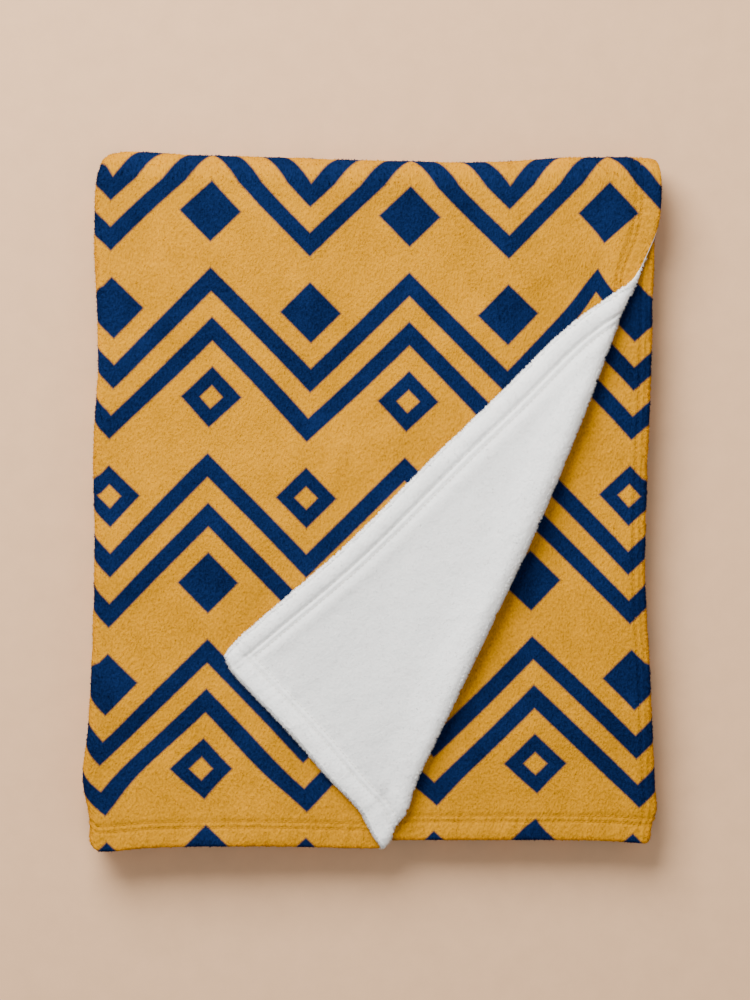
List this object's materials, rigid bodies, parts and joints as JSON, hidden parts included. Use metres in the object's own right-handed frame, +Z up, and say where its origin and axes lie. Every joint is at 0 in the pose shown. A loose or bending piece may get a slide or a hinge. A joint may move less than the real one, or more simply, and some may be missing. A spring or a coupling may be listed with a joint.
{
  "type": "folded throw blanket",
  "caption": "Fleece throw folded in thirds both ways into a flat pack, top layer's front corner turned back to show the white reverse.",
  "frame": {"origin": "middle of the folded pack's outline, at the face it lies on", "axes": "+Z up out of the pack, +Y towards the long fold at the back, +X towards the free side hem of the top layer"},
  "size_m": [0.3492, 0.4242, 0.0472],
  "materials": {
    "printed_fleece": "matt brushed fleece, yellow with a navy print on one side and white on the other"
  },
  "bodies": {
    "root": {"throw": "printed_fleece"}
  },
  "joints": []
}
